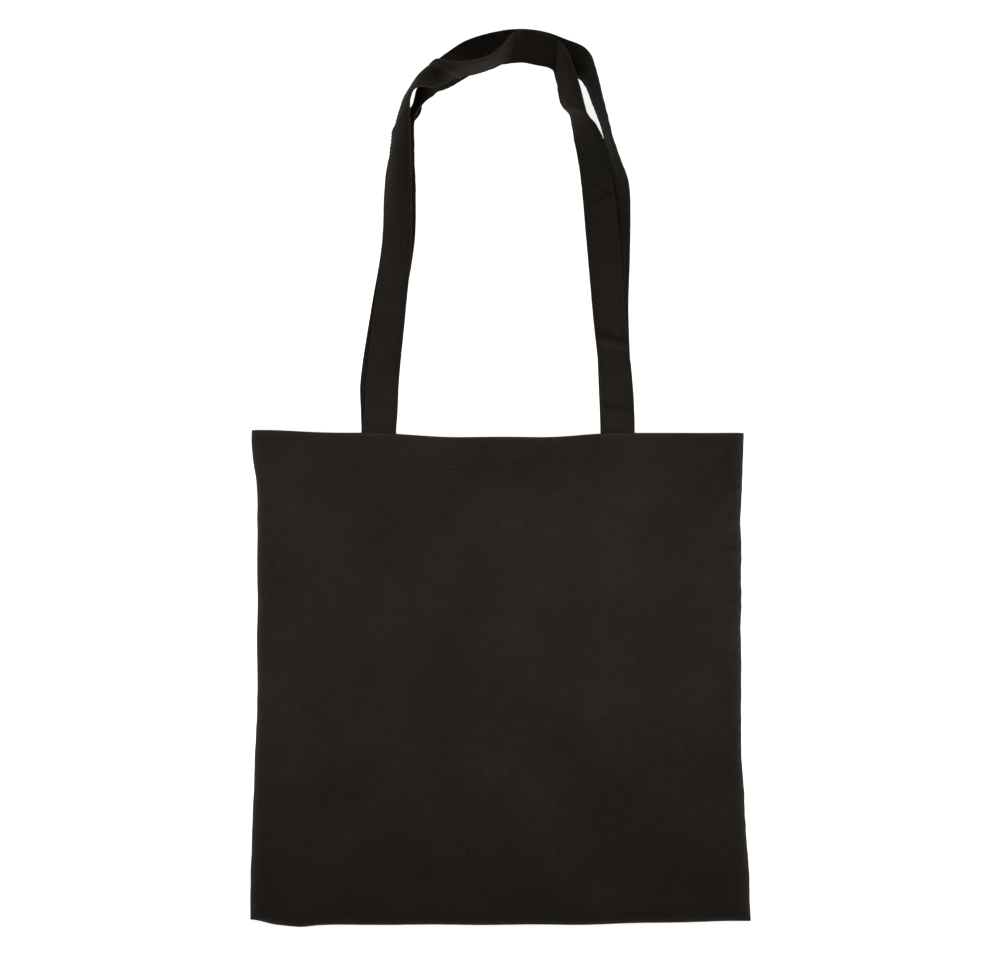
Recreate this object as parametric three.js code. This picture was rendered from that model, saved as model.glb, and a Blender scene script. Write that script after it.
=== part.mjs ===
// Canvas tote bag, lying on its back with both handles spread out beyond the mouth.
// Millimetres. X runs across the bag, Y from the bottom seam to the handles, Z up through the layers.
// The origin is under the middle of the whole outline, on the surface that the bag lies on.

import * as THREE from 'three';

// ---- Cloth, strap and thread ----
const CLOTH = 0.7;             // one layer of canvas
const HEM_THICK = 1.2;         // the rim's two turned-in layers, pressed
const HEM_DEPTH = 25;
const STRAP_WIDTH = 25.4;      // one inch
const STRAP_THICK = 1.8;       // canvas folded to four layers, pressed
const THREAD_WIDTH = 0.8;
const THREAD_HIGH = 0.4;
const LAYER_GAP = 0.3;         // clearance between two layers that touch
const THREAD_GAP = 0.15;       // clearance under a row of thread

// ---- Bag body ----
const LEFT_WAIST = 188.2;      // from the centre line to the left seam, at its narrowest
const RIGHT_WAIST = 186.2;
const HALF_WIDTH = 190;        // nominal, before the seams' waver
const BOTTOM_Y = -346.3;
const RIM_Y = 31;
const CROWN_RADIUS = 30;       // the front panel curves down to its seams over this distance
const FRONT_Z = 10.3;          // underside of the front panel where it lies flat
const SEAM_Z = CLOTH + LAYER_GAP;

// ---- Seam allowances, inside ----
const ALLOWANCE_NEAR = 2;      // from the seam to the allowance
const ALLOWANCE_FAR = 9.4;
const ALLOWANCE_TOP = 2.4;
const OVERLOCK_NEAR = 9.7;     // the overlock thread wraps the allowance's cut edge
const OVERLOCK_FAR = 11.7;
const OVERLOCK_TOP = 2.6;
const CORNER_CLEAR = 12.2;     // the bottom allowance stops this far from the side seams
const HEM_INSET = 12.5;        // the hem bands stop this far from the side seams
const SEAM_ROW_INSET = 4;      // the side allowances stop this far from the bottom seam

// ---- Layer heights at the rim ----
const HEM_GAP = 0.5;
const BACK_HEM_Z = SEAM_Z;
const BACK_TAIL_Z = 2.4;
const FRONT_HEM_DROP = HEM_GAP + HEM_THICK;
const FRONT_TAIL_Z = 6.6;
const TAIL_LOW_Y = 14;
const TAIL_HIGH_Y = 34.4;
const HEM_ROW_DEPTH = 22.5;    // hem stitching, measured down from the rim
const BOX_STITCH = { width: 19, height: 14, low: 17 };

// ---- Handles ----
// Each station is [x, y, height of the lowest point, heading, tilt, cup].
// Heading is the plan direction from the strap's outer to its inner edge, in degrees.
// Tilt lifts the inner edge, and cup is how far the strap's width is bent over, in degrees.
// The strap keeps its full width at every station, so a narrow stretch stands up or folds over.
const FRONT_HANDLE = [
  [-93.3, 34.8, 6.6, 0, 0, 0],
  [-92.2, 50, 5.6, 0, 0, 10],
  [-91, 75, 3.8, 0, 4, 30],
  [-85.6, 130, 2.8, 0, 8, 40],
  [-80.6, 181, 3.4, 2, 18, 55],
  [-79.8, 226, 5.6, 2, 32, 90],
  [-79, 254, 6.6, 4, 47, 95],
  [-77.2, 270, 5.8, 3, 60, 75],
  [-75.2, 283, 5.4, -4, 70, 50],
  [-72.4, 292.5, 6, -20, 77, 30],
  [-67.8, 299.8, 6.4, -38, 78, 30],
  [-61.6, 305.4, 8.2, -52, 58, 110],
  [-54, 309.2, 9.2, -64, 14, 180],
  [-45.8, 311.4, 8.4, -62, -24, 130],
  [-37, 312.6, 7, -60, -64, 50],
  [-22.5, 314.6, 4.6, -68, -76, 10],
  [-8.5, 318.8, 3.4, -78, -76, 10],
  [1.6, 325.2, 3.2, -88, -66, 5],
  [9.5, 331.4, 3.4, -94, -30, 0],
  [17, 333.6, 3.6, -95, -6, 0],
  [27, 332, 3.6, -94, 0, 0],
  [40.5, 328, 3.4, -92, -4, 0],
  [46.8, 317.6, 3.2, -116, -36, 20],
  [51.6, 300.5, 2.8, -140, -44, 30],
  [54.8, 288, 2.6, -168, -52, 45],
  [59, 279.6, 2.6, -188, -58, 50],
  [63.6, 270, 2.8, -174, -46, 50],
  [69.4, 254, 4.8, -177, -24, 30],
  [74.1, 231, 4.9, -181, -16, 10],
  [79.9, 173, 2.8, -176, -3, 20],
  [84.9, 117, 2.8, -178, 4, 30],
  [89.6, 75, 3.8, -180, 2, 20],
  [90.9, 50, 5.6, -180, 0, 10],
  [91.1, 34.8, 6.6, -180, 0, 0],
];
const BACK_HANDLE = [
  [-95, 34.8, 2.4, 0, 0, 0],
  [-95.6, 50, 1.4, 0, 0, 0],
  [-96, 75, 0.2, 0, 0, 0],
  [-87.8, 130, 0, 0, 0, 0],
  [-79.4, 181, 0, 0, 0, 0],
  [-77.9, 222, 0, 0, 0, 60],
  [-77.6, 246, 0, -2, 16, 130],
  [-76, 262, 0, -6, 50, 150],
  [-71.6, 275, 0, -18, 82, 150],
  [-65.4, 286, 0, -28, 90, 140],
  [-62, 296, 0, -36, 64, 180],
  [-56, 303.6, 0, -42, 16, 205],
  [-47, 310.6, 0, -44, 0, 100],
  [-33.5, 320, 0, -46, 0, 30],
  [-21.5, 327.6, 0, -55, 0, 0],
  [-8, 331.9, 0, -70, 0, 0],
  [6, 334.7, 0, -84, 0, 0],
  [20, 335.2, 0, -95, 0, 0],
  [34, 332.8, 0, -103, 0, 0],
  [46.5, 327.8, 0, -114, -4, 0],
  [59, 321.6, 0, -132, -30, 20],
  [67.6, 309.6, 0, -154, -64, 30],
  [73.6, 292.6, 0, -170, -74, 20],
  [79.6, 274.4, 0, -164, -80, 10],
  [83.4, 259.6, 0, -172, -80, 10],
  [86, 244, 0, -180, -66, 20],
  [88, 226, 0, -176, -34, 20],
  [88.2, 202, 0, -175, -12, 5],
  [87.6, 167, 0, -177, -3, 0],
  [86.6, 130, 0, -180, 0, 0],
  [88.6, 75, 0.2, -180, 0, 0],
  [89.6, 50, 1.4, -180, 0, 0],
  [90, 34.8, 2.4, -180, 0, 0],
];
const STITCH_LINE = 0.42;      // edge stitching, as a part of the strap's width from its middle

// ---- Mesh fineness ----
const PANEL_ACROSS = 20;
const PANEL_ALONG = 16;
const STRAP_STEPS = 76;
// Mesh lines along the strap, as parts of its width: one runs under each row of stitching.
const STRAP_LINES = [-0.5, -STITCH_LINE, -0.2, 0, 0.2, STITCH_LINE, 0.5];
const HEM_STEPS = 24;

// ---- Materials ----
const canvas = () => new THREE.MeshStandardMaterial({ color: 0x26221d, roughness: 0.95, metalness: 0 });
const strapCanvas = () => new THREE.MeshStandardMaterial({ color: 0x28241f, roughness: 0.9, metalness: 0 });
const thread = () => new THREE.MeshStandardMaterial({ color: 0x1d1a17, roughness: 0.7, metalness: 0 });

const mix = THREE.MathUtils.lerp;
const ease = (from, to, value) => THREE.MathUtils.smoothstep(value, from, to);

// ---- Outline of the bag body ----
const leftSeam = (y) => -(LEFT_WAIST + 4.5 * ease(-15, 30, y) + 5.3 * (1 - ease(-330, -150, y)));
const rightSeam = (y) => RIGHT_WAIST + 2 * ease(-20, 30, y) + 7.3 * (1 - ease(-350, -190, y));
const rim = (x) => RIM_Y + 3.2 * ease(30, 100, Math.abs(x)) + 2.2 * ease(110, 185, -x);

function bottomSeam(x) {
  const leftLift = 4 * ease(168, 192, -x);
  const rightLift = 2.8 * ease(40, 190, x);
  const sag = 1.7 * Math.exp(-(((x + 155) / 13) ** 2));
  return BOTTOM_Y + leftLift + rightLift - sag;
}

// Height of the front panel's underside: a flat field that curves down to three seams.
function rounded(distance) {
  const short = 1 - THREE.MathUtils.clamp(distance / CROWN_RADIUS, 0, 1);
  return Math.sqrt(1 - short * short);
}

function frontUnderside(x, y) {
  const side = Math.min(x - leftSeam(y), rightSeam(y) - x);
  const fromBottom = y - bottomSeam(x);
  return SEAM_Z + (FRONT_Z - SEAM_Z) * rounded(side) * rounded(fromBottom);
}

// A solid formed from a unit block: place(u, v, w) says where each of its points goes.
function formed(across, along, place) {
  const block = new THREE.BoxGeometry(1, 1, 1, across, along, 1);
  const points = block.attributes.position;
  for (let i = 0; i < points.count; i += 1) {
    const [u, v, w] = [points.getX(i) + 0.5, points.getY(i) + 0.5, points.getZ(i) + 0.5];
    points.setXYZ(i, ...place(u, v, w));
  }
  block.computeVertexNormals();
  return block;
}

function named(name, geometry, material) {
  const mesh = new THREE.Mesh(geometry, material);
  mesh.name = name;
  return mesh;
}

// ---- Panels ----
// Grid lines crowd towards the seams, where the cloth curves.
function panelPoint(u, v) {
  const across = 0.5 + 0.5 * Math.sin((u - 0.5) * Math.PI);
  const along = 1 - Math.cos(v * Math.PI / 2);
  const nominal = mix(-HALF_WIDTH, HALF_WIDTH, across);
  const y = mix(bottomSeam(nominal), rim(nominal), along);
  return [mix(leftSeam(y), rightSeam(y), across), y];
}

function panel(name, underside) {
  const geometry = formed(PANEL_ACROSS, PANEL_ALONG, (u, v, w) => {
    const [x, y] = panelPoint(u, v);
    return [x, y, underside(x, y) + CLOTH * w];
  });
  return named(name, geometry, canvas());
}

// ---- Hem bands, turned in at the rim ----
function hemPoint(u, depth) {
  const nominal = mix(-HALF_WIDTH + HEM_INSET, HALF_WIDTH - HEM_INSET, u);
  const y = rim(nominal) - depth;
  return [mix(leftSeam(y) + HEM_INSET, rightSeam(y) - HEM_INSET, u), y];
}

function hemBand(name, underside) {
  const geometry = formed(HEM_STEPS, 2, (u, v, w) => {
    const [x, y] = hemPoint(u, mix(HEM_DEPTH, 0.5, v));
    return [x, y, underside(x, y) + HEM_THICK * w];
  });
  return named(name, geometry, canvas());
}

function hemStitching(name, underside) {
  const geometry = formed(HEM_STEPS, 1, (u, v, w) => {
    const [x, y] = hemPoint(u, HEM_ROW_DEPTH + THREAD_WIDTH * (0.5 - v));
    return [x, y, underside(x, y) + THREAD_HIGH * w];
  });
  return named(name, geometry, thread());
}

const frontHemUnderside = (x, y) => frontUnderside(x, y) - FRONT_HEM_DROP;
const frontHemRow = (x, y) => frontHemUnderside(x, y) - THREAD_GAP - THREAD_HIGH;
const backHemRow = () => BACK_HEM_Z + HEM_THICK + THREAD_GAP;

// ---- Seam allowances and their overlock thread, inside the bag ----
function underFront(x, y, wanted) {
  const room = SEAM_Z + 0.5 * (frontUnderside(x, y) - SEAM_Z);
  return Math.min(wanted, room);
}

function sideStrip(name, side, near, far, top, material) {
  const seam = side < 0 ? leftSeam : rightSeam;
  const geometry = formed(1, 18, (u, v, w) => {
    const nominal = side * (HALF_WIDTH - near);
    const y = mix(bottomSeam(nominal) + SEAM_ROW_INSET, rim(nominal) - HEM_DEPTH - 1, v);
    const inset = side < 0 ? mix(near, far, u) : mix(far, near, u);
    const x = seam(y) - side * inset;
    return [x, y, mix(SEAM_Z, underFront(x, y, top), w)];
  });
  return named(name, geometry, material);
}

function bottomStrip(name, near, far, top, material) {
  const geometry = formed(20, 1, (u, v, w) => {
    const nominal = mix(-HALF_WIDTH, HALF_WIDTH, u);
    const y = bottomSeam(nominal) + mix(near, far, v);
    const x = mix(leftSeam(y) + CORNER_CLEAR, rightSeam(y) - CORNER_CLEAR, u);
    return [x, y, mix(SEAM_Z, underFront(x, y, top), w)];
  });
  return named(name, geometry, material);
}

// ---- Handle straps ----
// A smooth curve through the stations, evened out by the distance between them.
function stationAt(stations, fraction) {
  const reach = [0];
  for (let i = 1; i < stations.length; i += 1) {
    const [from, to] = [stations[i - 1], stations[i]];
    reach.push(reach[i - 1] + Math.hypot(to[0] - from[0], to[1] - from[1], to[2] - from[2]));
  }
  const wanted = fraction * reach[reach.length - 1];
  let first = 0;
  while (first < stations.length - 2 && wanted > reach[first + 1]) first += 1;
  const span = reach[first + 1] - reach[first];
  const t = (wanted - reach[first]) / span;
  const slope = (index, k) => {
    const low = Math.max(index - 1, 0);
    const high = Math.min(index + 1, stations.length - 1);
    return span * (stations[high][k] - stations[low][k]) / (reach[high] - reach[low]);
  };
  return stations[first].map((start, k) => {
    const end = stations[first + 1][k];
    const level = (2 * t ** 3 - 3 * t ** 2 + 1) * start + (3 * t ** 2 - 2 * t ** 3) * end;
    const lean = (t ** 3 - 2 * t ** 2 + t) * slope(first, k) + (t ** 3 - t ** 2) * slope(first + 1, k);
    return level + lean;
  });
}

// Where a point of the strap's section is: sideways in plan, and up.
function sectionPoint(tilt, cup, across, above) {
  let [flat, crown, turn] = [STRAP_WIDTH * across, 0, 0];
  if (Math.abs(cup) > 0.001) {
    const radius = STRAP_WIDTH / cup;
    turn = across * cup;
    flat = radius * Math.sin(turn);
    crown = radius * (Math.cos(turn) - Math.sin(cup / 2) / (cup / 2));
  }
  flat += above * Math.sin(turn);
  crown += above * Math.cos(turn);
  return {
    side: flat * Math.cos(tilt) - crown * Math.sin(tilt),
    up: flat * Math.sin(tilt) + crown * Math.cos(tilt),
  };
}

function lowestOf(tilt, cup) {
  let lowest = 0;
  for (const across of STRAP_LINES) {
    lowest = Math.min(lowest, sectionPoint(tilt, cup, across, -STRAP_THICK / 2).up);
    lowest = Math.min(lowest, sectionPoint(tilt, cup, across, STRAP_THICK / 2).up);
  }
  return lowest;
}

function strapPoint(stations, fraction, across, above) {
  const [x, y, rest, heading, tiltDegrees, cupDegrees] = stationAt(stations, fraction);
  const tilt = THREE.MathUtils.degToRad(tiltDegrees);
  const cup = THREE.MathUtils.degToRad(cupDegrees);
  const turn = THREE.MathUtils.degToRad(heading);
  const point = sectionPoint(tilt, cup, across, above);
  const up = rest - lowestOf(tilt, cup) + point.up;
  return [x + point.side * Math.cos(turn), y + point.side * Math.sin(turn), up];
}

function strap(name, stations) {
  const lanes = STRAP_LINES.length - 1;
  const geometry = formed(lanes, STRAP_STEPS, (u, v, w) => (
    strapPoint(stations, v, STRAP_LINES[Math.round(u * lanes)], STRAP_THICK * (w - 0.5))
  ));
  return named(name, geometry, strapCanvas());
}

function strapStitching(name, stations, line) {
  const half = THREAD_WIDTH / STRAP_WIDTH / 2;
  const floor = STRAP_THICK / 2 + LAYER_GAP;
  const geometry = formed(1, STRAP_STEPS, (u, v, w) => (
    strapPoint(stations, v, line + half * (2 * u - 1), floor + THREAD_HIGH * w)
  ));
  return named(name, geometry, thread());
}

// ---- Sewn ends of the straps, inside the rim ----
function tail(name, station, low) {
  const geometry = formed(1, 1, (u, v, w) => [
    station[0] + STRAP_WIDTH * (u - 0.5),
    mix(TAIL_LOW_Y, TAIL_HIGH_Y, v),
    low + STRAP_THICK * w,
  ]);
  return named(name, geometry, strapCanvas());
}

function rectangle(path, width, height) {
  path.moveTo(-width / 2, -height / 2);
  path.lineTo(width / 2, -height / 2);
  path.lineTo(width / 2, height / 2);
  path.lineTo(-width / 2, height / 2);
  path.closePath();
  return path;
}

function tailStitching(name, station, low) {
  const { width, height } = BOX_STITCH;
  const outline = rectangle(new THREE.Shape(), width, height);
  outline.holes.push(rectangle(new THREE.Path(), width - 2 * THREAD_WIDTH, height - 2 * THREAD_WIDTH));
  const geometry = new THREE.ExtrudeGeometry(outline, { depth: THREAD_HIGH, bevelEnabled: false });
  const mesh = named(name, geometry, thread());
  mesh.position.set(station[0], BOX_STITCH.low + height / 2, low);
  return mesh;
}

// ---- The bag ----
function handle(side, stations) {
  const group = new THREE.Group();
  group.add(strap(`${side}_handle_strap`, stations));
  group.add(strapStitching(`${side}_handle_outer_stitching`, stations, -STITCH_LINE));
  group.add(strapStitching(`${side}_handle_inner_stitching`, stations, STITCH_LINE));
  return group;
}

function tails(side, stations, low, stitchLow) {
  const group = new THREE.Group();
  const ends = { left: stations[0], right: stations[stations.length - 1] };
  for (const [hand, station] of Object.entries(ends)) {
    group.add(tail(`${side}_${hand}_handle_tail`, station, low));
    group.add(tailStitching(`${side}_${hand}_tail_stitching`, station, stitchLow));
  }
  return group;
}

function backHalf() {
  const group = new THREE.Group();
  group.add(panel('back_panel', () => 0));
  group.add(hemBand('back_hem', () => BACK_HEM_Z));
  group.add(hemStitching('back_hem_stitching', backHemRow));
  for (const [hand, side] of Object.entries({ left: -1, right: 1 })) {
    const allowance = [ALLOWANCE_NEAR, ALLOWANCE_FAR, ALLOWANCE_TOP];
    const overlock = [OVERLOCK_NEAR, OVERLOCK_FAR, OVERLOCK_TOP];
    group.add(sideStrip(`${hand}_seam_allowance`, side, ...allowance, canvas()));
    group.add(sideStrip(`${hand}_overlock_thread`, side, ...overlock, thread()));
  }
  group.add(bottomStrip('bottom_seam_allowance', ALLOWANCE_NEAR, ALLOWANCE_FAR, ALLOWANCE_TOP, canvas()));
  group.add(bottomStrip('bottom_overlock_thread', OVERLOCK_NEAR, OVERLOCK_FAR, OVERLOCK_TOP, thread()));
  group.add(tails('back', BACK_HANDLE, BACK_TAIL_Z, BACK_TAIL_Z + STRAP_THICK + THREAD_GAP));
  return group;
}

function frontHalf() {
  const group = new THREE.Group();
  group.add(panel('front_panel', frontUnderside));
  group.add(hemBand('front_hem', frontHemUnderside));
  group.add(hemStitching('front_hem_stitching', frontHemRow));
  group.add(tails('front', FRONT_HANDLE, FRONT_TAIL_Z, FRONT_TAIL_Z - THREAD_GAP - THREAD_HIGH));
  return group;
}

const bag = new THREE.Group();
bag.add(backHalf(), frontHalf(), handle('front', FRONT_HANDLE), handle('back', BACK_HANDLE));

export default bag;
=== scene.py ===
"""The looks of the canvas tote bag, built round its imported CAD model.

Shapes are worked out in millimetres and made in metres, in the CAD model's own frame:
X across the bag, Y from the bottom seam to the handles, Z up through the layers.
"""

import math

import bpy
import numpy as np
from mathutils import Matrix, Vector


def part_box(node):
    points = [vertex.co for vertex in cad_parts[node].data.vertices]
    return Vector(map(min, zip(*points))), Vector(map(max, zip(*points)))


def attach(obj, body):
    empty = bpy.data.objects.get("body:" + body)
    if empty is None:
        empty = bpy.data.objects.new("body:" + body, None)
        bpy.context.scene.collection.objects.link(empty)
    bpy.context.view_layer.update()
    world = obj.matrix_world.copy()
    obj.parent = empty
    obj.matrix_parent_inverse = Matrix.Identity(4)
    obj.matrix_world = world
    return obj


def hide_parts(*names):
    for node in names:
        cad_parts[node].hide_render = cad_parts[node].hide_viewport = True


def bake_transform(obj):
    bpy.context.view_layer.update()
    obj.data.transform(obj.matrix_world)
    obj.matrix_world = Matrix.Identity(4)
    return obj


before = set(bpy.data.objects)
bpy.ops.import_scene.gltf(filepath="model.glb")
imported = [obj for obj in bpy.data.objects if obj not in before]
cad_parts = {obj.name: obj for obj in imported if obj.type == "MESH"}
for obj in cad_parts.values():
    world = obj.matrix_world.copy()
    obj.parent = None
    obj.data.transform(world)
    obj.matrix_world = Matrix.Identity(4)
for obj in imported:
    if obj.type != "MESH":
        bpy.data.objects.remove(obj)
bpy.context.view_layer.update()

MM = 0.001


def cad(node):
    """The lowest and highest corners of a CAD node, in millimetres."""
    low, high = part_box(node)
    return np.array(low) / MM, np.array(high) / MM


# ---- Camera ----
# It looks straight down on the laid bag, as a catalogue picture does.
LENS = 85.0
SENSOR = 36.0
VIEW_WIDTH = 0.7755           # of the plane at the height VIEW_PLANE, in metres
VIEW_PLANE = 0.001
VIEW_SHIFT = -0.0004          # the camera's place across the bag

camera_data = bpy.data.cameras.new("camera")
camera_data.lens = LENS
camera_data.sensor_width = SENSOR
camera = bpy.data.objects.new("camera", camera_data)
camera.location = (VIEW_SHIFT, 0.0, VIEW_PLANE + VIEW_WIDTH * LENS / SENSOR)
bpy.context.scene.collection.objects.link(camera)
bpy.context.scene.camera = camera

# ---- Cloth, strap and thread ----
CLOTH = 0.7                   # thickness
FOLD_RADIUS = 0.78            # of the cloth's middle, where the rim turns in
TURN_RADIUS = 0.39            # where the hem's own edge turns under
HEM_DEPTH = 25.0
HEM_ROW_DEPTH = 22.5
HEM_INSET = 11.0              # the turned-in layers stop this far from the side seams
STRAP_WIDTH = 25.4
STRAP_THICK = 1.8
STITCH_LENGTH = 2.5
STITCH_PITCH = 3.1
STITCH_RADIUS = 0.26
# Along one stitch: its height over the cloth, and its thickness as a share of the thread's.
STITCH_LIFT = np.array([-0.14, 0.10, 0.17, 0.10, -0.14])
STITCH_TAPER = (0.6, 0.95, 1.0, 0.95, 0.6)

# ---- Bag outline, as in the CAD model ----
# A waist is where a side seam runs nearest to the middle.
LEFT_WAIST = 188.2
RIGHT_WAIST = 186.2
HALF_WIDTH = 190.0
BOTTOM_Y = -346.3
RIM_Y = 31.0

# ---- Heights of the cloth's middle ----
BACK_Z = cad("back_panel")[0][2] + CLOTH / 2
FRONT_Z = cad("front_panel")[1][2] - CLOTH / 2
SEAM_FRONT_Z = 2.5            # the front panel's edge where it is sewn to the back's
SEAM_BACK_Z = 1.7
CROWN_RADIUS = 13.0           # how far in from a seam the front panel curves down
BACK_CURL = 9.0               # how far in from a seam the back panel curves up
TAIL_LOW_Y = cad("front_left_handle_tail")[0][1]
TAIL_CENTRES = [np.mean(cad(f"front_{side}_handle_tail"), axis=0)[0] for side in ("left", "right")]

# ---- Handles, as in the CAD model ----
# Each station is (x, y, height of the lowest point, heading, tilt, cup).
# Heading is the plan direction from the strap's outer to its inner edge, in degrees.
# Tilt lifts the inner edge, and cup is how far the strap's width is bent over, in degrees.
FRONT_HANDLE = [
    (-93.3, 34.8, 6.6, 0, 0, 0),
    (-92.2, 50, 5.6, 0, 0, 10),
    (-91, 75, 3.8, 0, 4, 30),
    (-85.6, 130, 2.8, 0, 8, 40),
    (-80.6, 181, 3.4, 2, 18, 55),
    (-79.8, 226, 5.6, 2, 32, 90),
    (-79, 254, 6.6, 4, 47, 95),
    (-77.2, 270, 5.8, 3, 60, 75),
    (-75.2, 283, 5.4, -4, 70, 50),
    (-72.4, 292.5, 6, -20, 77, 30),
    (-67.8, 299.8, 6.4, -38, 78, 30),
    (-61.6, 305.4, 8.2, -52, 58, 110),
    (-54, 309.2, 9.2, -64, 14, 180),
    (-45.8, 311.4, 8.4, -62, -24, 130),
    (-37, 312.6, 7, -60, -64, 50),
    (-22.5, 314.6, 4.6, -68, -76, 10),
    (-8.5, 318.8, 3.4, -78, -76, 10),
    (1.6, 325.2, 3.2, -88, -66, 5),
    (9.5, 331.4, 3.4, -94, -30, 0),
    (17, 333.6, 3.6, -95, -6, 0),
    (27, 332, 3.6, -94, 0, 0),
    (40.5, 328, 3.4, -92, -4, 0),
    (46.8, 317.6, 3.2, -116, -36, 20),
    (51.6, 300.5, 2.8, -140, -44, 30),
    (54.8, 288, 2.6, -168, -52, 45),
    (59, 279.6, 2.6, -188, -58, 50),
    (63.6, 270, 2.8, -174, -46, 50),
    (69.4, 254, 4.8, -177, -24, 30),
    (74.1, 231, 4.9, -181, -16, 10),
    (79.9, 173, 2.8, -176, -3, 20),
    (84.9, 117, 2.8, -178, 4, 30),
    (89.6, 75, 3.8, -180, 2, 20),
    (90.9, 50, 5.6, -180, 0, 10),
    (91.1, 34.8, 6.6, -180, 0, 0),
]
BACK_HANDLE = [
    (-95, 34.8, 2.4, 0, 0, 0),
    (-95.6, 50, 1.4, 0, 0, 0),
    (-96, 75, 0.2, 0, 0, 0),
    (-87.8, 130, 0, 0, 0, 0),
    (-79.4, 181, 0, 0, 0, 0),
    (-77.9, 222, 0, 0, 0, 60),
    (-77.6, 246, 0, -2, 16, 130),
    (-76, 262, 0, -6, 50, 150),
    (-71.6, 275, 0, -18, 82, 150),
    (-65.4, 286, 0, -28, 90, 140),
    (-62, 296, 0, -36, 64, 180),
    (-56, 303.6, 0, -42, 16, 205),
    (-47, 310.6, 0, -44, 0, 100),
    (-33.5, 320, 0, -46, 0, 30),
    (-21.5, 327.6, 0, -55, 0, 0),
    (-8, 331.9, 0, -70, 0, 0),
    (6, 334.7, 0, -84, 0, 0),
    (20, 335.2, 0, -95, 0, 0),
    (34, 332.8, 0, -103, 0, 0),
    (46.5, 327.8, 0, -114, -4, 0),
    (59, 321.6, 0, -132, -30, 20),
    (67.6, 309.6, 0, -154, -64, 30),
    (73.6, 292.6, 0, -170, -74, 20),
    (79.6, 274.4, 0, -164, -80, 10),
    (83.4, 259.6, 0, -172, -80, 10),
    (86, 244, 0, -180, -66, 20),
    (88, 226, 0, -176, -34, 20),
    (88.2, 202, 0, -175, -12, 5),
    (87.6, 167, 0, -177, -3, 0),
    (86.6, 130, 0, -180, 0, 0),
    (88.6, 75, 0.2, -180, 0, 0),
    (89.6, 50, 1.4, -180, 0, 0),
    (90, 34.8, 2.4, -180, 0, 0),
]


# ---- Arithmetic ----
def ease(start, end, value):
    """0 before start, 1 after end, and a smooth step between them."""
    t = np.clip((np.asarray(value, float) - start) / (end - start), 0, 1)
    return t * t * (3 - 2 * t)


def bell(value, width):
    """1 at nothing, falling away on both sides."""
    return np.exp(-((np.asarray(value, float) / width) ** 2))


def ripples(u, v, spacing, seed, count=12):
    """Smooth unevenness from about -1 to 1, with bumps about `spacing` apart."""
    draw = np.random.default_rng(seed)
    total = 0.0
    for _ in range(count):
        turn = draw.uniform(0, math.tau)
        pace = math.tau / (spacing * draw.uniform(0.7, 1.8))
        phase = draw.uniform(0, math.tau)
        total = total + np.cos(pace * (np.cos(turn) * u + np.sin(turn) * v) + phase)
    return total * math.sqrt(1.2 / count)


def wander(along, spacing, seed, count=7):
    """The same unevenness along one line."""
    draw = np.random.default_rng(seed)
    total = 0.0
    for _ in range(count):
        pace = math.tau / (spacing * draw.uniform(0.7, 1.8))
        total = total + np.cos(pace * along + draw.uniform(0, math.tau))
    return total * math.sqrt(1.2 / count)


# ---- The bag's outline ----
# Each edge is a straight line that runs out or in near its ends, and wavers a little.
def left_seam(y):
    line = -(LEFT_WAIST + 4.5 * ease(-15, 30, y) + 5.3 * (1 - ease(-330, -150, y)))
    return line + 0.25 * wander(y, 60, 11) + 0.08 * wander(y, 17, 15)


def right_seam(y):
    line = RIGHT_WAIST + 2 * ease(-20, 30, y) + 7.3 * (1 - ease(-350, -190, y))
    return line + 0.25 * wander(y, 52, 12) + 0.08 * wander(y, 15, 16)


def rim(x):
    line = RIM_Y + 3.2 * ease(30, 100, np.abs(x)) + 2.2 * ease(110, 185, -x)
    return line + 0.15 * wander(x, 60, 13)


def bottom_seam(x):
    lift = 4 * ease(168, 192, -x) + 2.8 * ease(40, 190, x)
    return BOTTOM_Y + lift - 1.7 * bell(x + 155, 13) + 0.2 * wander(x, 58, 14)


# ---- Heights of the two panels' middles ----
# Each pinched fold is (where it meets the right seam, depth).
PINCHES = ((-8.5, 0.9), (-31, 1.0), (-55, 0.8), (-96, 0.5), (-137, 0.55))
PINCH_X = 181.0
PINCH_RISE = 0.15             # how steeply the folds climb towards the seam
HOLLOW_PLACE = (174.0, 13.0)
HOLLOW_SIZE = (7.0, 13.0)
HOLLOW_DEPTH = 1.7
HEM_STEP = 0.45               # how much the single cloth lies below the hem's layers
HEM_ROW_SINK = 0.16           # how deep the hem's stitching draws the cloth in
TAIL_STEP = 0.5               # how far the sewn strap ends underneath stand through
PINCH_LENGTH = 8.0
PINCH_WIDTH = 2.2
PAINTED_HIGHLIGHT_OFFSET = 3.2            # a painted highlight lies this far below each fold


def rounded(distance, radius):
    """A quarter circle's height, from 0 at its foot to 1 at `radius` from it."""
    short = 1 - np.clip(distance / radius, 0, 1)
    return np.sqrt(np.clip(1 - short * short, 0, 1))


def from_seams(x, y):
    """How far a place is from the nearer side seam, and from the bottom seam."""
    side = np.minimum(x - left_seam(y), right_seam(y) - x)
    return np.maximum(side, 0), np.maximum(y - bottom_seam(x), 0)


def puckers(x, y):
    """Where seam thread draws the cloth in: short ridges that run off each seam."""
    side, low = from_seams(x, y)
    along_side = np.where(x < 0, wander(y, 13, 21), wander(y, 11, 22))
    strength = 0.5 + 0.5 * ease(-0.6, 0.9, wander(y, 70, 24))
    drawn = 0.2 * strength * along_side * bell(side - 3, 7) + 0.14 * wander(x, 16, 23) * bell(low - 3, 7)
    return drawn - folds(x, y)


def folds(x, y):
    """How deep the pinched folds are that run in from the right seam under the mouth."""
    deep = 0.0
    for at, depth in PINCHES:
        off_line = y - at - PINCH_RISE * (x - PINCH_X)
        deep = deep + depth * bell(x - PINCH_X, PINCH_LENGTH) * bell(off_line, PINCH_WIDTH)
    return deep


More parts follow.
